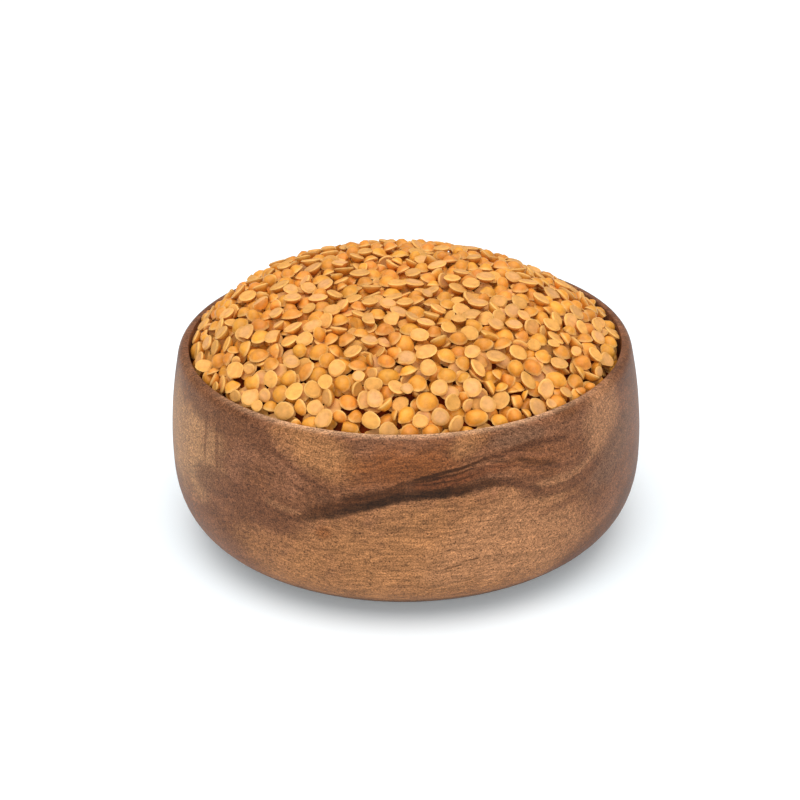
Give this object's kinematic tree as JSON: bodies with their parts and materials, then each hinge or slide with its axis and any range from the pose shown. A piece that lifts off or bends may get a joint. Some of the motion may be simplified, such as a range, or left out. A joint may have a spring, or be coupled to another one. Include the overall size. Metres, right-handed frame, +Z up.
{
  "type": "wooden bowl heaped with split lentils",
  "caption": "Turned wooden bowl with an inward-curving wall, filled past its rim with a heap of dry split lentils.",
  "frame": {"origin": "middle of the foot's flat face, on the axis the bowl was turned about", "axes": "+Z up along the bowl's axis; the heap of lentils leans a little towards -X"},
  "size_m": [0.125, 0.125, 0.0696],
  "materials": {
    "oiled_wood": "turned hardwood, sanded and oiled to a satin sheen, with dark heartwood streaks and fine open pores",
    "dry_lentil": "dry skinned seed halves, matte pale split faces and smoother orange-yellow domed backs"
  },
  "bodies": {
    "root": {"bowl": "oiled_wood", "lentils": "dry_lentil"}
  },
  "joints": []
}
